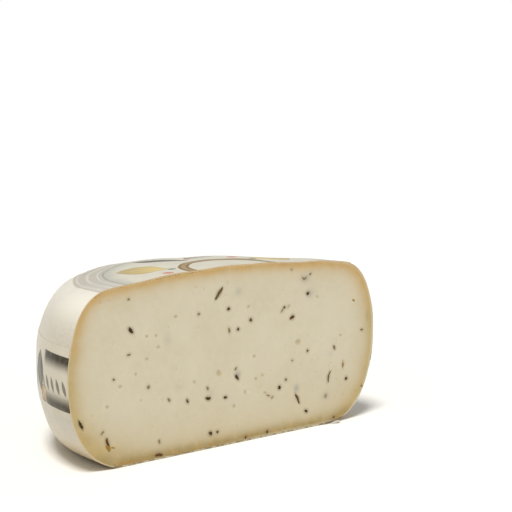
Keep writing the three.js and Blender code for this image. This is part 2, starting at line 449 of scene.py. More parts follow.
# %% [markdown]
# ## What the knife shows
#
# Truffle is folded into the curd in shreds and crumbs, and the knife cuts through them. Most are black,
# some have bled brown, a few are amber, and pale ones have hardly been touched. Others lie under the
# surface and only darken it: these are smudges, listed by their strength. Eyes are small holes in the
# curd. Each is written as a mark: place across, place up, length and width in millimetres on the cut
# face, and where it needs them its tilt in degrees and how far its ends bend aside.

# %% Flecks on the cut face
SHREDS = [
    (-11.6, 95.8, 9.2, 2.3, 51, 0.2), (53.5, 20.7, 8.2, 1.8, -60, -0.5), (80, 31.3, 8.4, 1.1, 77, -1.9),
]
BLACK_FLECKS = [
    (-111.5, 29.6, 6.8, 1.6, -62, 0.5), (-76.5, 80.5, 5, 2.2, -43), (2.9, 41.7, 4.8, 1.7, -50),
    (-19.5, 31.6, 4, 2.1, -15), (-6.2, 30.3, 2.8, 1.4), (-4, 85.5, 2.4, 1.8), (61, 11.2, 2.8, 1.8, -20),
    (-17.4, 9.3, 2.9, 2.4, -50), (60.9, 88.6, 2.4, 1.9), (38, 30.1, 2.6, 2.2), (96, 28, 2.2, 2),
    (3.5, 72, 1.9, 1.6), (43.5, 34.5, 1.4, 1.1), (41.3, 81.6, 1.6, 1.3, 10), (-12, 9.3, 1.7, 1.3),
]
BROWN_FLECKS = [
    (48, 74.4, 3.9, 2.2, 24), (-93.4, 16.4, 5.6, 1.9, -72, 0.4), (-56.4, 2.5, 6, 2, -9),
    (13.7, 76.6, 2.4, 1.9, -10), (61.5, 51, 1.5, 1.3, 20), (-35.3, 32.3, 2.7, 1.4, -70),
    (28, 2.8, 2.2, 1.6, 70), (85.5, 3.3, 1.6, 1, 10), (10.4, 2, 1.9, 1.2, 50), (110.7, 20.9, 1.2, 0.9),
]
AMBER_FLECKS = [
    (-92.7, 12.9, 4.5, 3, -50), (-89.4, 12.6, 3, 1, -12), (93.2, 37.4, 3.6, 0.8, 86),
    (101.3, 80, 2.5, 1.5, -20),
]
PALE_FLECKS = [
    (-3.5, 72, 3.9, 1.8, -75), (84.8, 50.3, 3.8, 2, -60), (39.6, 79.8, 3.2, 1.2, 50),
    (57.6, 98.4, 4.6, 1.6, -5, 1.5), (62.8, 101, 2.4, 1.2, 35), (-64, 45, 2.5, 2.2),
    (-27.1, 84.8, 2.1, 1.8), (-20, 38, 2.5, 1.8, -60), (-96.8, 22.7, 3.2, 1.1, 42),
    (-78, 66.3, 2.8, 1.3, 10), (109.5, 59.3, 2.4, 1.6), (78, 18.8, 2.4, 2, 80), (48.6, 46.3, 1.5, 1.1),
    (-78, 99, 1.7, 1.3), (-56.2, 10.7, 2.8, 1.7, -75), (28.6, 26.3, 3, 1, -15), (32, 24.6, 2.2, 1.1, 40),
    (-49, 35, 3.2, 1.6, -50), (-88.7, 53, 1.8, 1.4), (47, 105.3, 1.3, 0.8), (2, 47.2, 2.5, 1.5, 40),
]
flecks_in_all = sum(map(len, (SHREDS, BLACK_FLECKS, BROWN_FLECKS, AMBER_FLECKS, PALE_FLECKS)))
print(f"{flecks_in_all} flecks")

# %% Eyes, smudges and stains
EYES = [
    (92.9, 38, 6, 2.2, 85), (53.5, 57.5, 5, 4.2), (26.2, 28.2, 3.3, 1.6, -30), (-11, 46, 5.2, 4, -50),
    (12, 85, 2.8, 1.6, 30), (17, 53, 2.9, 2.2), (45.2, 81.4, 3.8, 2.1, 60), (-84, 48, 3, 1.9),
    (-44, 85, 2.6, 2), (-65, 75.6, 2.2, 1.6), (-58, 75, 2.2, 1.8), (-56.5, 68, 2.7, 1.9),
    (-65, 62, 2.3, 1.6), (-73, 54, 2, 2), (-93, 37.3, 2.4, 2.4), (-30, 43.2, 2.4, 2.1),
    (1, 23.4, 2.6, 2.6), (69.4, 85.3, 2.8, 1.8, -30), (9.8, 31, 2, 3.2), (18.5, 38.5, 2.3, 2.1),
    (23.8, 40, 2.4, 1.6), (90.6, 57.5, 2.2, 2),
]
SMUDGES = {
    0.3: [(-50, 72, 6, 8), (-42, 42, 6.5, 4.4), (-17, 34.7, 6.5, 5, -40), (81.8, 46.6, 4.4, 3.4)],
    0.55: [(58.5, 98.6, 9, 6.5), (62.8, 88.4, 8, 7), (4, 95.5, 5.5, 5), (78, 19, 7, 6)],
    1: [(3.8, 43.6, 5, 5), (52.5, 27.5, 5, 6)],
}
OCHRE_STAINS = [
    (92.9, 37.6, 6, 3, 85), (-17.5, 2.4, 3.6, 3), (-92.6, 12.8, 5, 3.6, -30), (10.4, 2.6, 5, 4),
    (-79, 2.2, 26, 3),
]
BROWN_STAINS = [(114.3, 68, 3.6, 8)]
stains_in_all = len(OCHRE_STAINS) + len(BROWN_STAINS)
print(f"{len(EYES)} eyes, {sum(map(len, SMUDGES.values()))} smudges, {stains_in_all} stains")

# %% [markdown]
# ## The cut face and the rind as one closed mesh
#
# The paste is the body of the cheese. Its cut face could be a flat plate, but light rakes over it, and
# a real knife leaves slow waves, little eyes and a slightly crumbled rim. So the face is a fine grid
# with relief worked into it. Its columns are spaced evenly along the crest line and each runs from
# the underside to the crest. The rind uses the same spacing, so that both weld along the rim.

# %% Spacing along the rim
PASTE_IN = -0.7
HALF_COLUMNS = 214
FACE_ROWS = 150
RIND_STEPS = 44


def rim_radii(count, out, steps=4000):
    """Distances from the axis, evenly spaced along the crest line from the top centre to the belly."""
    station = np.linspace(0, 2, steps)
    line = skin(station, np.zeros(1), out)[:, 0]
    apart = np.linalg.norm(np.diff(line, axis=0), axis=1)
    length = np.concatenate([[0], np.cumsum(apart)])
    return np.interp(np.linspace(0, length[-1], count + 1), length, upper_radius(station, out))


def rind_grid(radii, angles, out):
    """The rind down from the top centre, round the belly and in to the centre of the base. A radius
    at the cut keeps its share of the way to the foot, or from the foot to the belly, further round."""
    radii = radii[:, None]
    foot = foot_radius(angles)
    full = WHEEL_RADIUS + out
    inner = radii * foot / FOOT_AT_RIGHT
    outer = foot + (radii - FOOT_AT_RIGHT) * (full - foot) / (full - FOOT_AT_RIGHT)
    lower = np.where(radii < FOOT_AT_RIGHT, inner, outer)
    top = on_wheel(radii, angles, crest_height(radii, angles, out))
    bottom = on_wheel(lower, angles, sole_height(lower, angles, out))
    return np.concatenate([top, bottom[-2::-1]])


radii = rim_radii(HALF_COLUMNS, PASTE_IN)
rind = rind_grid(radii, np.linspace(0, np.pi, RIND_STEPS + 1), PASTE_IN)
print(f"rim stepped every {np.linalg.norm(rind[1, 0] - rind[0, 0]):.2f} mm")

# %% A flat face between the two rims
# The last column of the rind is the left end of the cut, and its first column the right end.
upper_left = rind[HALF_COLUMNS::-1, -1]
lower_left = rind[HALF_COLUMNS:, -1]
upper_right = rind[1 : HALF_COLUMNS + 1, 0]
lower_right = rind[-2 : HALF_COLUMNS - 1 : -1, 0]
crest_rim = np.concatenate([upper_left, upper_right])
sole_rim = np.concatenate([lower_left, lower_right])
down = np.linspace(0, 1, FACE_ROWS + 1)[:, None, None]
face = crest_rim + (sole_rim - crest_rim) * down
across, up = face[..., 0], face[..., 2]
print("face grid:", face.shape[:2])


# %% How deep in the paste each point lies
def depth_from_rim(across, up, every=3):
    """Distance of each point of the face to the nearest of every third point of the rim."""
    rim = np.concatenate([crest_rim[::every], sole_rim[::every]]).astype(np.float32)
    apart_x = across.astype(np.float32)[..., None] - rim[:, 0]
    apart_z = up.astype(np.float32)[..., None] - rim[:, 2]
    return np.sqrt((apart_x**2 + apart_z**2).min(axis=-1)).astype(float)


depth = depth_from_rim(across, up)
print(f"deepest point {depth.max():.1f} mm from the rim")

# %% Relief of the cut
KNIFE_WAVES = [(0.12, 96, 0.3), (0.08, 41, 1.2), (0.05, 23, 2.4)]
EYE_DEPTH = 0.55
EYE_BOWL = (0.2, 1.25)
PITS = 260
PITS_FROM, PITS_TO = (-112, 4), (112, 106)
PIT_WIDTH = (0.5, 1.1)
PIT_DEPTH = (0.1, 0.28)
FLAT_RIM = (0.2, 3)
draw = np.random.default_rng(5)
pit_places = draw.uniform(PITS_FROM, PITS_TO, (PITS, 2))
pit_widths = draw.uniform(*PIT_WIDTH, PITS)
pit_depths = draw.uniform(*PIT_DEPTH, PITS)


def columns_of(marks):
    """Across, up, length, width, tilt and bend of marks, 0 where a mark leaves out the last ones."""
    return np.array([(*mark, 0, 0)[:6] for mark in marks], float).T


def mark_distance(across, up, marks):
    """How far points lie from the middle of each mark, as a share of its half length along its tilt
    and of its half width across it. It is 1 on the mark's outline."""
    left, height, length, width, tilt, _ = columns_of(marks)
    tilt = np.radians(tilt)
    right_of = across[..., None] - left
    above = up[..., None] - height
    along = right_of * np.cos(tilt) + above * np.sin(tilt)
    aside = above * np.cos(tilt) - right_of * np.sin(tilt)
    return np.hypot(along / (length / 2), aside / (width / 2))


def dimples(across, up):
    """Depth of the pits: each is a small dimple, depth times exp(-(distance / width)²)."""
    apart = np.hypot(across[..., None] - pit_places[:, 0], up[..., None] - pit_places[:, 1])
    return (pit_depths * np.exp(-((apart / pit_widths) ** 2))).sum(axis=-1)


def relief(across, up):
    """Height of the cut face towards the viewer: waves of the knife, each with a height, a length
    and the way it runs, less a smooth bowl for each eye and the pits."""
    waves = sum(
        height * np.sin(2 * np.pi * (across * np.cos(way) + up * np.sin(way)) / length + 3 * way)
        for height, length, way in KNIFE_WAVES
    )
    bowls = EYE_DEPTH * (1 - eased(mark_distance(across, up, EYES), *EYE_BOWL)).sum(axis=-1)
    return waves - bowls - dimples(across, up)


face[..., 1] = -relief(across, up) * eased(depth, *FLAT_RIM)
print(f"relief from {-face[..., 1].max():.2f} to {-face[..., 1].min():.2f} mm")

# %% [markdown]
# ## Where the paste changes colour
#
# Under the coat the paste ripens to a rind. It is thin and orange at the crown, broader at the sides
# and brown along the base, where whey gathers. The change isn't a line but a slow fade, so each point
# of the face gets a share of rind: 1 / (1 + (depth / reach)^n), where reach is the depth at which the
# colour is half way. Smudges and stains are soft spots. The material mixes its colours by these fields.

# %% Share of rind
RIND_FADE = 2.6
CROWN_REACH = 4.3
SIDE_REACH = 6.7
BASE_REACH = 5.7
BASE_UP_TO = (12, 40)
SIDE_FROM = (78, 112)
SIDE_UP_TO = (70, 96)
DEEPER_SPOTS = [(-92, 12, 18, 6), (96, 14, 20, 2.4), (104, 92, 18, 2.8)]


def rind_share(across, up, depth):
    """Share of rind at each point. Both feet and the right shoulder are deeper spots: place across,
    place up, spread and how much further the rind reaches in there."""
    side = eased(np.abs(across), *SIDE_FROM) * (1 - eased(up, *SIDE_UP_TO))
    reach = CROWN_REACH + (BASE_REACH - CROWN_REACH) * (1 - eased(up, *BASE_UP_TO))
    reach = reach + (SIDE_REACH - reach) * side
    for left, height, spread, further in DEEPER_SPOTS:
        reach = reach + further * np.exp(-((across - left) ** 2 + (up - height) ** 2) / spread**2)
    return 1 / (1 + (depth / reach) ** RIND_FADE)


# %% Soft spots
SPOT_SPREAD = 0.9
OCHRE_SPREAD = 0.8
BROWN_SHARE = 0.5
BLEEDS_OVER = 1.0
PALE_BLEEDS = 0.5


def soft_marks(across, up, marks, spread=SPOT_SPREAD):
    """Sum of soft spots in the shape of marks: exp(-(distance / spread)²)."""
    return np.exp(-((mark_distance(across, up, marks) / spread) ** 2)).sum(axis=-1)


def bled_round(across, up, marks):
    """How much a fleck darkens the paste round it. It fades with the distance beyond the outline,
    which is the distance from the middle times 1 - 1 / share."""
    left, height = columns_of(marks)[:2]
    apart = np.hypot(across[..., None] - left, up[..., None] - height)
    share = np.maximum(mark_distance(across, up, marks), 1)
    return np.exp(-((apart * (1 - 1 / share) / BLEEDS_OVER) ** 2)).max(axis=-1)


def smudged(across, up):
    """How much the truffle under the surface darkens the paste."""
    return sum(strength * soft_marks(across, up, marks) for strength, marks in SMUDGES.items())


def bled(across, up):
    """The stronger of two stains: round the dark flecks, or round the pale ones and in brown stains."""
    dark = bled_round(across, up, SHREDS + BLACK_FLECKS + BROWN_FLECKS)
    stained = soft_marks(across, up, BROWN_STAINS) * BROWN_SHARE
    return np.maximum(dark, bled_round(across, up, PALE_FLECKS) * PALE_BLEEDS + stained)


# %% Fields for the paste
EYE_RIM = (0.5, 1.3)
PIT_SHOWS = (0.14, 0.26)
face_fields = {
    "rind": rind_share(across, up, depth),
    "depth": depth,
    "eye": 1 - eased(mark_distance(across, up, EYES), *EYE_RIM).min(axis=-1),
    "pit": eased(dimples(across, up), *PIT_SHOWS),
    "smudge": np.clip(smudged(across, up), 0, 1),
    "ochre": np.clip(soft_marks(across, up, OCHRE_STAINS, OCHRE_SPREAD), 0, 1),
    "bled": bled(across, up),
}
rind_points = rind.shape[0] * rind.shape[1]
paste_fields = {
    name: np.concatenate([values.ravel(), np.full(rind_points, float(name == "rind"))])
    for name, values in face_fields.items()
}
print("fields of the paste:", ", ".join(paste_fields))

# %% Weld the face and the rind
face_quads = grid_quads(*face.shape[:2])
rind_quads = grid_quads(*rind.shape[:2]) + face.shape[0] * face.shape[1]
paste = make_piece(
    "cheese_paste",
    np.concatenate([face.reshape(-1, 3), rind.reshape(-1, 3)]),
    np.concatenate([face_quads, rind_quads]),
    fields=paste_fields,
)

# %% [markdown]
# ## The finish of the paste
#
# Young goat cheese is nearly white, this one a warm ivory. It is moist and a little see-through, so
# some light goes in and comes out nearby: a low subsurface weight softens every edge. Two noises of
# different sizes cloud the ivory, a fine one gives the curd's grain, and the fields lay in the rest.


# %% Paste material
def ivory_colour(recipe, up, grain):
    """Clouded ivory with paler curd and darker grains, a little darker towards the base, partly
    the paste's own colour and partly painted shade.
    """
    return recipe.layers(
        (209, 199, 171),
        (recipe.noise(26, detail=3).rise(0.3, 0.7), (214, 205, 180)),
        (recipe.noise(4.5, detail=4, roughness=0.6).rise(0.3, 0.75) * 0.35, (220, 212, 190)),
        (grain.rise(0.55, 0.8) * 0.25, (196, 184, 152)),
        # Darker towards the base: partly the paste's own colour and partly painted shade.
        (up.rise(60, 0) * 0.35, (196, 182, 150)),
    )


def rind_colour(recipe, up):
    """Tan at the sides, orange at the crown and brown at the base, with riper and golden patches."""
    return recipe.layers(
        (192, 171, 121),
        (up.rise(60, 96), (201, 167, 109)),
        (up.rise(15, 2), (160, 139, 88)),
        (recipe.noise(7, detail=4, roughness=0.65).rise(0.35, 0.75) * 0.3, (180, 150, 88)),
        (recipe.noise(5, detail=3, roughness=0.6).rise(0.45, 0.7) * 0.4, (206, 170, 110)),
    )


def paste_finish():
    """The rind's patchy edge, the marks, the foot that the knife has lifted and the rim dried pale."""
    uniform = {
        "Subsurface Weight": 0.12,
        "Subsurface Scale": 1.6 * MM,
        "Subsurface Radius": (1.0, 0.7, 0.4),
        "Specular IOR Level": 0.35,
    }
    recipe = Recipe("goat_cheese_paste", uniform)
    across, _, up = recipe.wheel_place()
    grain = recipe.noise(0.9, detail=3, roughness=0.6)
    patchy = 0.86 + recipe.noise(12, detail=3).rise(0.2, 0.8) * 0.28
    lifted = up.rise(2.1, 1.3) * across.rise(-30, 50) * (0.6 + recipe.noise(4) * 0.6)
    dried = recipe.field("depth").rise(1.5, 0.5) * across.rise(70, 100) * up.rise(4, 12)
    paste = recipe.layers(
        ivory_colour(recipe, up, grain),
        (recipe.field("rind") * patchy, rind_colour(recipe, up)),
        # The tan inside the eyes is partly the curd's own colour and partly painted shade of the hollows.
        (recipe.field("eye") * 0.55, (180, 158, 110)),
        # The ochre of the deepest pits is partly their own colour and partly painted shade of the hollows.
        (recipe.field("pit") * 0.3, (168, 144, 98)),
        (recipe.field("smudge") * 0.8, (166, 163, 153)),
        (recipe.field("ochre") * 0.55, (172, 130, 58)),
        (recipe.field("bled") * 0.5, (128, 106, 68)),
        (lifted * 0.85, (190, 178, 148)),
        (dried * 0.7, (208, 195, 163)),
    )
    wet = recipe.noise(9, detail=3).rise(0.35, 0.7)
    knife_drag = recipe.noise(2.2, stretch=(9, 1, 1))
    height = grain * 0.5 + recipe.noise(0.45) * 0.2 + knife_drag * 0.3
    return recipe.finish(paste, 0.5 + wet * 0.12, recipe.bump(height, 0.12, 0.6))


join_model(paste, paste_finish(), "cheese")

# %% [markdown]
# ## Truffle flecks
#
# A fleck that the knife has cut stands a hair proud of the paste, because it is harder. All flecks of
# a kind are one mesh: each is a low closed chip, a few rings of points round its middle, and its
# outline is made uneven by waves with seeded draws. Five kinds share the shape and differ in how proud
# they stand and in three colours: dark, light and a few specks.

# %% Shape of the flecks
FLECK_SIDES = 16
FLECK_BLUNT = 0.8
FLECK_RINGS = np.array([0, 0.45, 0.8, 1, 0])
FLECK_RISE = np.array([1, 0.92, 0.6, -0.5, -0.8])
FLECK_ROUGH = np.array([0, 0.3, 0.3, 0, 0])
FLECK_UNEVEN = {2: 0.12, 3: 0.14, 5: 0.1}


def blunt(wave):
    """A sine or cosine to the power n, with its sign kept."""
    return np.sign(wave) * np.abs(wave) ** FLECK_BLUNT


def fleck_piece(name, marks, proud, seed):
    """Rings times sides for each mark. A point is the middle of the mark plus its half length times
    cos^n and half width times sin^n of the turn, where n under 1 makes the ends blunt, times 1 plus a
    few waves. Its height is the relief of the paste plus the ring's rise. Ends bend with the square
    of the share of the way to them."""
    draw = np.random.default_rng(seed)
    left, height, length, width, tilt, bend = columns_of(marks)[:, :, None, None]
    turn = np.linspace(0, 2 * np.pi, FLECK_SIDES + 1)
    ring = FLECK_RINGS[:, None]
    starts = draw.uniform(0, 2 * np.pi, (len(FLECK_UNEVEN), len(marks), 1, 1))
    uneven = 1 + sum(
        size * np.sin(waves * turn + start) for (waves, size), start in zip(FLECK_UNEVEN.items(), starts)
    )
    along = ring * uneven * blunt(np.cos(turn))
    aside = ring * uneven * blunt(np.sin(turn))
    tilt = np.radians(tilt)
    forward, sideways = along * length / 2, aside * width / 2 + bend * along**2
    x = left + forward * np.cos(tilt) - sideways * np.sin(tilt)
    z = height + forward * np.sin(tilt) + sideways * np.cos(tilt)
    rough = 1 + draw.uniform(-1, 1, x.shape) * FLECK_ROUGH[:, None]
    rough[..., -1] = rough[..., 0]
    y = -relief(x, z) - proud * FLECK_RISE[:, None] * rough
    points = np.stack([x, y, z], axis=-1)
    first = np.arange(len(marks))[:, None, None] * len(FLECK_RINGS) * (FLECK_SIDES + 1)
    quads = (grid_quads(len(FLECK_RINGS), FLECK_SIDES + 1) + first).reshape(-1, 4)
    tone = np.broadcast_to(draw.uniform(0, 1, (len(marks), 1, 1)), x.shape)
    return make_piece(name, points, quads, fields={"tone": tone}, weld=0.01)


# %% Finish of the flecks
def fleck_finish(name, dark, light, speck):
    """Two tones from fleck to fleck, mottled within each one."""
    recipe = Recipe(name, {"Specular IOR Level": 0.12})
    mottle = recipe.noise(0.7, detail=3, roughness=0.6)
    tone = recipe.field("tone") * 0.6 + mottle.rise(0.35, 0.7) * 0.4
    truffle = recipe.layers(dark, (tone, light), (mottle.rise(0.62, 0.75) * 0.6, speck))
    return recipe.finish(truffle, 0.5 + mottle * 0.25, recipe.bump(mottle, 0.15, 0.8))


# Names of the piece and the finish, marks, millimetres proud, seed, and the three colours.
KINDS_OF_FLECK = [
    ("shreds", "shred", SHREDS, 0.26, 20, (76, 58, 34), (114, 92, 58), (66, 50, 30)),
    ("flecks_black", "black", BLACK_FLECKS, 0.28, 21, (46, 33, 18), (78, 60, 36), (102, 82, 52)),
    ("flecks_brown", "brown", BROWN_FLECKS, 0.24, 22, (74, 44, 18), (112, 78, 40), (136, 98, 52)),
    ("flecks_amber", "amber", AMBER_FLECKS, 0.18, 24, (126, 94, 34), (168, 134, 60), (88, 60, 24)),
    ("flecks_pale", "pale", PALE_FLECKS, 0.14, 23, (124, 107, 78), (154, 137, 104), (108, 92, 66)),
]
for kind, look, marks, proud, seed, *tones in KINDS_OF_FLECK:
    flecks = fleck_piece(f"truffle_{kind}", marks, proud, seed)
    finish = fleck_finish(f"truffle_{look}", *tones)
    join_model(flecks, finish, "cheese")

# %% [markdown]
# ## The plastic coat
#
# Before it is packed, the wheel is brushed with an off-white plastic coat that keeps mould off and
# lets the cheese breathe. It is under a millimetre thick and shows at the cut as a pale line. It is a
# closed wall between two skins. At the cut its edge is a little ragged, because the knife tears it.

# %% Coat
COAT_THICKNESS = 0.72
COAT_ROWS = (40, 40, 36, 8)
RAGGED = 0.16
TEAR_WAVES = np.array([(9, 0.4, 0.4), (23, 2.1, 0.3), (47, 3.7, 0.2), (71, 5.2, 0.1)])
TEARS_SINK_BY = 0.2
coat_stations = stations([0, 1, 2, 3, 4], COAT_ROWS)
coat_outer = skin(coat_stations, half_turn, 0)
coat_inner = skin(coat_stations, half_turn, -COAT_THICKNESS)


def tear(station, end):
    """How far the torn edge of the coat stands out of the cut: waves of the station, each with a
    number of turns, a start and a share. The two ends of the cut start at different places in them."""
    turns, starts, shares = TEAR_WAVES.T
    return RAGGED * (np.sin(station[:, None] * turns + starts * (1 + end)) @ shares - TEARS_SINK_BY)


for end, column in enumerate((0, -1)):
    for edge in (coat_outer, coat_inner):
        edge[:, column, 1] += tear(coat_stations, end)
coat = shell("coating_skin", coat_outer, coat_inner)


# %% Coat material
def coat_cut_colour(recipe, across, up):
    """The edge of the coat where it is cut: it takes some colour from the paste beside it, is ragged at
    the foot where the knife tore it, with dark patches there that are painted contact shade, and is
    painted dark under the right end with the shade of the gap there."""
    torn_and_shaded = recipe.noise(3).rise(0.42, 0.56)
    return recipe.layers(
        (206, 188, 146),
        (across.rise(0, 60), (214, 203, 178)),
        (up.rise(78, 96), (202, 170, 118)),
        # Painted contact shade in the dark patches at the foot; the pale ones are the ragged edge.
        (up.rise(3, 1), recipe.mix(torn_and_shaded, (138, 120, 84), (204, 194, 166))),
        # Painted shade of the dark gap under the right end.
        (across.rise(76, 82) * up.rise(3.6, 2), (96, 78, 50)),
    )


def coat_finish():
    """Brushed off-white, with painted shade that makes it greyer below the shoulder, and stained by
    hands and shelves near the base.
    """
    uniform = {
        "Subsurface Weight": 0.08,
        "Subsurface Scale": 0.8 * MM,
        "Subsurface Radius": (1.0, 0.85, 0.6),
        "Specular IOR Level": 0.4,
    }
    recipe = Recipe("off_white_cheese_coat", uniform)
    across, back, up = recipe.wheel_place()
    brushed = recipe.noise(5, detail=3, stretch=(1, 1, 0.4)).rise(0.35, 0.7)
    handled = up.rise(30, 0) * (0.5 + recipe.noise(14, detail=3).rise(0.25, 0.75) * 0.5)
    coat = recipe.layers(
        (233, 228, 213),
        (recipe.noise(30, detail=3).rise(0.3, 0.7), (228, 222, 206)),
        # Painted shade: below the shoulder the coat is greyer, as a side that gets less light than the
        # crown.
        (up.rise(100, 78), (197, 189, 171)),
        (brushed * 0.2, (228, 223, 210)),
        (handled * 0.7, (194, 163, 104)),
        (back.rise(0.5, 0.1) * 0.85, coat_cut_colour(recipe, across, up)),
    )
    height = recipe.noise(1.6) * 0.5 + brushed * 0.5
    return recipe.finish(coat, 0.3 + brushed * 0.14, recipe.bump(height, 0.1))


join_model(coat, coat_finish(), "coating")

# %% [markdown]
# ## Printed films
#
# Three thin films lie on the coat: a round one on the crown, a band round the side and one under the
# base. A flat film can't cover a dome without folding, so its edge has fine puckers. Each film is a
# closed wall whose inner skin is sunk a little into the coat, so that no slit shows beneath it.

# %% Film shapes
FILM_OUT = 0.28
FILM_SUNK = -0.1
TOP_FILM_RADIUS = 98
TOP_FILM_ROWS = (30, 24)
TOP_FILM_FINER_FROM = 0.8
TOP_PUCKERS = 64
TOP_PUCKERS_FROM = 0.86
SIDE_FILM_TOP = 74
SIDE_FILM_FOOT = 33
SIDE_FILM_ROWS = 27
SIDE_PUCKERS = 90
PUCKER_HEIGHT = 0.1
ALONG_Y, ALONG_Z = 1, 2


def station_at(value, axis, start, end):
    """The station between two others where the middle of the wheel's back reaches a place along y,
    which is its radius there, or along z, its height."""
    rows = np.linspace(start, end, 2001)
    line = skin(rows, np.array([np.pi / 2]), 0)[:, 0, axis]
    order = np.argsort(line)
    return float(np.interp(value, line[order], rows[order]))


def puckers(angles, count, start):
    """Fine folds round the edge: sine waves of the angle whose number drifts along the way."""
    turns = count * angles + 1.7 * np.sin(5 * angles + start) + 0.9 * np.sin(11 * angles)
    return PUCKER_HEIGHT * (0.6 * np.sin(turns) + 0.4 * np.sin(1.7 * turns + start))


def film(name, rows, pucker):
    """A film over rows of stations, its outer skin lifted by the puckers."""
    outer = skin(rows, half_turn, FILM_OUT)
    inner = skin(rows, half_turn, FILM_SUNK)
    square = outwards(np.linalg.norm(outer[..., :2], axis=-1), half_turn, outer[..., 2])
    return shell(name, outer + square * pucker[..., None], inner)


top_edge = station_at(TOP_FILM_RADIUS, ALONG_Y, 1, 2)
top_rows = stations([0, TOP_FILM_FINER_FROM, top_edge], TOP_FILM_ROWS)
near_edge = eased(top_rows, TOP_PUCKERS_FROM, top_edge)[:, None]
top_film = film("crown_label", top_rows, near_edge * puckers(half_turn, TOP_PUCKERS, 0.5))
side_top = station_at(SIDE_FILM_TOP, ALONG_Z, 1, 2)
side_foot = station_at(SIDE_FILM_FOOT, ALONG_Z, 2, 3)
side_rows = np.linspace(side_top, side_foot, SIDE_FILM_ROWS)
near_edges = np.abs(np.linspace(-1, 1, SIDE_FILM_ROWS))[:, None] ** 6
side_film = film("side_label", side_rows, near_edges * puckers(half_turn, SIDE_PUCKERS, 2))

# %% [markdown]
# ## The print on the crown
#
# The label is plain: a silver-grey ring round a pale disc, and on the disc a wreath of leaves with
# berries round a gold ring. Nothing is drawn by hand. A leaf is a lens, |aside| < width (1 - (along /
# length)²), and it is repeated round the wheel by folding the angle with a modulo, so one spray makes
# the whole wreath.

# %% Shader shapes for prints
BROWN_INK = (112, 82, 44)
CHARCOAL_INK = (74, 68, 54)
OLIVE_INK = (142, 138, 112)


def polar(across, back):
    """Distance from the axis, and the angle round it from the right end of the cut."""
    return (across * across + back * back) ** 0.5, back.arctan2(across)


def turned(along, aside, tilt):
    """Two lengths turned by a tilt in degrees."""
    cosine, sine = float(np.cos(np.radians(tilt))), float(np.sin(np.radians(tilt)))
    return along * cosine + aside * sine, aside * cosine - along * sine


def leaf(along, aside, length, width):
    """How far inside a leaf's outline a point lies, in millimetres, and less than 0 outside."""
    share = along / (length / 2)
    return (1 - share * share) * (width / 2) - abs(aside)


def soft_edge(inside, blur=0.25):
    """1 inside an outline and 0 outside, over a little blur."""
    return inside.rise(-blur, blur)


def line_at(value, middle, half_width):
    """1 on a line where a value is at its middle, and 0 beside it."""
    return soft_edge(half_width - abs(value - middle))


def leaf_print(recipe, ground, leaves, from_spot):
    """Leaves laid over one another, each with a darker outline, a paler vein and a shade that deepens
    along it. A leaf is its place, tilt, length, width, fill and line. From_spot turns the place into
    two lengths from the leaf's middle."""
    for first, second, tilt, length, width, fill, line in leaves:
        along, aside = turned(*from_spot(first, second), tilt)
        inside = leaf(along, aside, length, width)
        vein = soft_edge(0.35 - abs(aside), 0.15) * inside.rise(0.5, 1.5)
        body = recipe.layers(
            fill,
            ((along / length + 0.5).rise(0, 1) * 0.45, line),
            (vein * 0.5, (222, 214, 190)),
            (inside.rise(1.1, 0.5) * 0.8, line),
        )
        ground = recipe.mix(soft_edge(inside), ground, body)
    return ground


def spot_print(recipe, ground, along, aside, radius, fill):
    """A round bead or berry."""
    apart = (along * along + aside * aside) ** 0.5
    return recipe.mix(soft_edge(radius - apart), ground, fill)


# %% Crown label material
RING_INNER = 80.4
RING_LINES = (83.2, 95.4)
BEAD_ROW = 89.4
BEAD_RADIUS = 1.1
BEADS = 144
SPRAYS = 3
SPRAY_AT = np.radians(147.4)
CORAL_INK = (208, 122, 104)
SPRAY_LEAVES = [
    (-71, 58, -30, 30, 13, OLIVE_INK, CHARCOAL_INK),
    (-43, 58, 76, 40, 14, CHARCOAL_INK, (44, 38, 26)),
    (0, 56, 96, 32, 27, (226, 200, 120), BROWN_INK),
]
SPRAY_BERRIES = [
    (25.5, 46, 3.5, CORAL_INK),
    (-56, 47, 2.6, CORAL_INK),
    (6, 38.5, 2.6, (96, 116, 106)),
]
GOLD_RING = 31
GOLD_HALF_WIDTH = 3.4
GOLD_LINES_AT = 2.2


def ring_print(recipe, radius, turn):
    """The silver-grey ring with two fine lines and a row of beads between them."""
    gleam = (turn * 4 + 1.2).sine().rise(-1, 1)
    lines = sum(line_at(radius, middle, 0.35) for middle in RING_LINES)
    ring = recipe.layers(
        (193, 185, 168),
        (gleam * 0.5, (208, 203, 190)),
        (lines * 0.7, (228, 225, 216)),
    )
    step = 2 * np.pi / BEADS
    along = (turn % step - step / 2) * BEAD_ROW
    return spot_print(recipe, ring, along, radius - BEAD_ROW, BEAD_RADIUS, (224, 221, 211))


def wreath_print(recipe, ground, radius, turn):
    """Sprays round the disc. Each has a broad tan leaf and a slim charcoal one that both point inwards,
    a small olive leaf, and berries. Places are angles from the tan leaf and radii."""
    step = 2 * np.pi / SPRAYS

    def from_spot(angle, middle):
        along = ((turn + (step / 2 - SPRAY_AT - np.radians(angle))) % step - step / 2) * middle
        return along, radius - middle

    wreath = leaf_print(recipe, ground, SPRAY_LEAVES, from_spot)
    for angle, middle, size, ink in SPRAY_BERRIES:
        wreath = spot_print(recipe, wreath, *from_spot(angle, middle), size, ink)
    return wreath


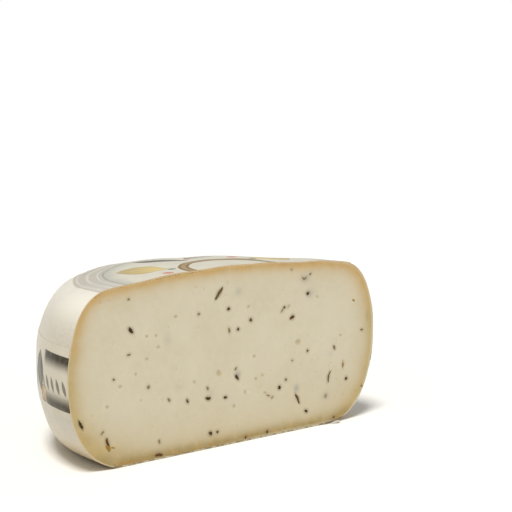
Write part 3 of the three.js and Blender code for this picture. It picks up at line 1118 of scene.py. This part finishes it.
def crown_label_finish():
    """The disc with its soft grey edge, the wreath and the gold ring, and the silver ring round it."""
    recipe = Recipe("crown_label_print", {"Specular IOR Level": 0.35})
    across, back, _ = recipe.wheel_place()
    radius, turn = polar(across, back)
    disc = recipe.layers(
        (218, 212, 192),
        (radius.rise(68, RING_INNER + 2) * 0.7, (164, 166, 152)),
        (line_at(radius, RING_INNER - 0.6, 0.5) * 0.7, (140, 144, 130)),
    )
    worn = recipe.noise(6, detail=4, roughness=0.65).rise(0.35, 0.75)
    label = recipe.layers(
        wreath_print(recipe, disc, radius, turn),
        (line_at(radius, GOLD_RING, GOLD_HALF_WIDTH), (166, 138, 82)),
        (line_at(abs(radius - GOLD_RING), GOLD_LINES_AT, 0.8) * 0.8, BROWN_INK),
        (soft_edge(radius - RING_INNER), ring_print(recipe, radius, turn)),
        (worn * 0.12, (240, 238, 230)),
        (back.rise(0.3, 0.05) * 0.8, (206, 176, 130)),
    )
    return recipe.finish(label, 0.3 + worn * 0.15, recipe.bump(recipe.noise(9, detail=3), 0.35))


join_model(top_film, crown_label_finish(), "top_film")

# %% [markdown]
# ## The print on the side
#
# The band repeats one panel round the wheel, with a sprig between each two. A panel has a dark band
# that fades in from its top edge and another from its bottom edge, and a row of slanting leaves
# between them. The pattern reads the distance round the wheel and the height on it.

# %% Side label material
PANELS_ROUND_HALF = 4
PANEL_HALF_WIDTH = 33.5
PANEL_END_FADE = 5
PANEL_TOP = 69.5
PANEL_FOOT = 37.5
BAND_FADES_OVER = 11
BAND_FULL_WITHIN = 2.5
BORDER_STEP = 7.2
BORDER_HEIGHT = 51
BORDER_TILT = 24
BORDER_LEAF = (10, 3.4)
STEM_HEIGHT = 44.6
SPRIG_LEAVES = [
    (9, 47, -58, 22, 8, OLIVE_INK, CHARCOAL_INK),
    (-12.5, 42.5, -35, 17, 10, (184, 156, 98), BROWN_INK),
    (-5.4, 55, 90, 25, 17, (64, 60, 44), (38, 34, 22)),
]


def panel_print(recipe, ground, along, up):
    """Dark bands along the top and bottom of a panel and a border of leaves across its middle."""
    upper = up.rise(PANEL_TOP - BAND_FADES_OVER, PANEL_TOP - BAND_FULL_WITHIN) * soft_edge(PANEL_TOP - up)
    lower = up.rise(PANEL_FOOT + BAND_FADES_OVER, PANEL_FOOT + BAND_FULL_WITHIN) * soft_edge(up - PANEL_FOOT)
    ends = abs(along).rise(PANEL_HALF_WIDTH, PANEL_HALF_WIDTH - PANEL_END_FADE)
    from_leaf = along % BORDER_STEP - BORDER_STEP / 2
    leaf_inside = leaf(*turned(up - BORDER_HEIGHT, from_leaf, BORDER_TILT), *BORDER_LEAF)
    panel = recipe.layers(
        ground,
        (upper * ends, (44, 33, 6)),
        (lower * ends, (60, 50, 24)),
        (soft_edge(leaf_inside) * 0.85, (92, 88, 72)),
        (line_at(up, STEM_HEIGHT, 0.3) * 0.6, (150, 144, 130)),
    )
    return recipe.mix(soft_edge(PANEL_HALF_WIDTH - abs(along)), ground, panel)


def sprig_print(recipe, ground, along, up):
    """A broad dark leaf that stands upright, a tan leaf at its foot and an olive one on its far side.
    Places are distances from the sprig's middle and heights."""
    return leaf_print(recipe, ground, SPRIG_LEAVES, lambda left, height: (along - left, up - height))


def side_label_finish():
    """A clouded ground, the panels and the sprigs, worn a little all over."""
    recipe = Recipe("side_label_print", {"Specular IOR Level": 0.2})
    across, back, up = recipe.wheel_place()
    round_wheel = (np.pi - polar(across, back)[1]) * WHEEL_RADIUS
    repeat = np.pi * WHEEL_RADIUS / PANELS_ROUND_HALF
    from_panel = (round_wheel + repeat / 2) % repeat - repeat / 2
    from_sprig = round_wheel % repeat - repeat / 2
    cloud = recipe.noise(25, detail=3).rise(0.3, 0.7)
    ground = recipe.mix(cloud, (207, 198, 179), (201, 192, 172))
    printed = sprig_print(recipe, panel_print(recipe, ground, from_panel, up), from_sprig, up)
    worn = recipe.noise(5, detail=4, roughness=0.65).rise(0.4, 0.75)
    band = recipe.mix(worn * 0.12, printed, (222, 215, 198))
    return recipe.finish(band, 0.3 + worn * 0.15, recipe.bump(recipe.noise(8, detail=3), 0.3))


join_model(side_film, side_label_finish(), "side_film")

# %% [markdown]
# ## The film under the base
#
# The wheel stands on its third film. It clings to the underside, but at the right end of the cut the
# foot curves up and the film has come loose: it lies flat on the table as a small pale lip. The piece
# is one more thin wall, and a blend between two heights lays that corner down.

# %% Base film
BASE_FILM_RADIUS = 92
BASE_FILM_TOP = 0.15
BASE_FILM_UNDERSIDE = 0.35
RIM_STEPS_END = 76
LOOSE_UNTIL = np.radians(25)
CLINGS_FROM = np.radians(40)
LIP_STARTS_IN = 9
LIP_ENDS_AT = 0.35
LIP_CURL = 1.2
LIP_SLIDES = np.array([-3.4, -3.8, 0])
rim_steps = np.linspace(BASE_FILM_RADIUS, RIM_STEPS_END, 18)
film_radii = np.concatenate([rim_steps, np.linspace(RIM_STEPS_END - 2, 0, 20)])


def base_film_skin(below):
    """A skin below the coat: the underside's own height where the film clings, and flat where it is
    loose. The corner of the lip has slid out in front of the cut and curls up towards its rim."""
    radius = film_radii[:, None]
    cling = sole_height(radius, half_turn, below)
    lip_start = FOOT_AT_RIGHT - LIP_STARTS_IN
    corner = eased(radius, lip_start, BASE_FILM_RADIUS) * eased(half_turn, LIP_ENDS_AT, 0)
    loose = 1 - eased(half_turn, LOOSE_UNTIL, CLINGS_FROM)
    height = cling + (np.minimum(LIP_CURL * corner**2 - below, cling) - cling) * loose
    flat_ring = sidewards(half_turn) * radius[..., None]
    return flat_ring + height[..., None] * UPWARDS + LIP_SLIDES * corner[..., None]


base_film = shell("base_label", base_film_skin(BASE_FILM_UNDERSIDE), base_film_skin(BASE_FILM_TOP))

# %% Base film material
DASH_STEP = 0.1
DASH_ROW = (76, 79)


def base_label_finish():
    """A pale ground with a ring of dashes, stained tan along the cut where it is pressed to the paste,
    and at the right end painted dark with the shadow of the gap between the coat's foot and the lip.
    """
    recipe = Recipe("base_label_print", {})
    across, back, _ = recipe.wheel_place()
    radius, turn = polar(across, back)
    cloud = recipe.noise(20, detail=3).rise(0.3, 0.7)
    in_row = radius.rise(DASH_ROW[0], DASH_ROW[0] + 1) * radius.rise(DASH_ROW[1], DASH_ROW[1] - 1)
    dashes = soft_edge(abs(turn % DASH_STEP - DASH_STEP / 2) * 80 - 1.6) * in_row
    # Tan stain at the left end of the cut, and at the right end painted shadow of the gap above the lip.
    stain_and_gap_shade = recipe.mix(across.rise(-10, 10), (186, 160, 106), (66, 52, 32))
    label = recipe.layers(
        (206, 203, 194),
        (cloud, (196, 193, 184)),
        (dashes * 0.8, (92, 86, 74)),
        (back.rise(-0.8, 0.2) * radius.rise(70, 76), stain_and_gap_shade),
    )
    return recipe.finish(label, 0.35 + cloud * 0.1, recipe.bump(recipe.noise(6), 0.2))


join_model(base_film, base_label_finish(), "base_film")

# %% [markdown]
# ## Table and light
#
# The half wheel stands on a plain white table in a white room. The camera sees the room as pure white,
# but it lights the cheese only weakly from all sides, which keeps soft shadows where the foot curves
# away from the table. A very broad lamp above, from the left and a little from the front, gives the
# crown more light than the side. The floor isn't part of the object.

# %% Floor
FLOOR_HALF_WIDTH = 40
FLOOR_POINTS = 9
recipe = Recipe("white_table", {"Specular IOR Level": 0.0})
cloud = recipe.noise(400).rise(0.3, 0.7)
floor_finish = recipe.finish(recipe.mix(cloud, (249, 247, 241), (251, 249, 243)), 0.9)
steps = np.linspace(-FLOOR_HALF_WIDTH, FLOOR_HALF_WIDTH, FLOOR_POINTS)
corners = np.stack(np.meshgrid(steps, steps, [0], indexing="ij"), axis=-1).reshape(-1, 3)
table_top = bpy.data.meshes.new("table_top")
table_top.from_pydata(corners.tolist(), [], grid_quads(FLOOR_POINTS, FLOOR_POINTS).tolist())
table_top.materials.append(floor_finish)
floor = bpy.data.objects.new("table_top", table_top)
bpy.context.collection.objects.link(floor)

# %% A room that lights weakly
WORLD_STRENGTH = 0.4
world = bpy.data.worlds.new("white_room")
world.use_nodes = True
tree = world.node_tree
room = next(node for node in tree.nodes if node.type == "BACKGROUND")
room.inputs["Color"].default_value = (1, 1, 1, 1)
seen = tree.nodes.new("ShaderNodeLightPath")
strength = tree.nodes.new("ShaderNodeMix")
strength.inputs[2].default_value = WORLD_STRENGTH
strength.inputs[3].default_value = 1
tree.links.new(seen.outputs["Is Camera Ray"], strength.inputs[0])
tree.links.new(strength.outputs[0], room.inputs["Strength"])
bpy.context.scene.world = world
bpy.context.scene.view_settings.view_transform = "Standard"

# %% A broad lamp
LAMP_STRENGTH = 2.55
LAMP_SPREAD = np.radians(18)
LAMP_COMES_FROM = Vector((-0.33, -0.26, 0.9))
lamp = bpy.data.objects.new("broad_lamp", bpy.data.lights.new("broad_lamp", "SUN"))
lamp.data.energy = LAMP_STRENGTH
lamp.data.angle = LAMP_SPREAD
lamp.rotation_euler = LAMP_COMES_FROM.to_track_quat("Z", "Y").to_euler()
bpy.context.collection.objects.link(lamp)
print(f"world of strength {WORLD_STRENGTH}, lamp of strength {LAMP_STRENGTH}")
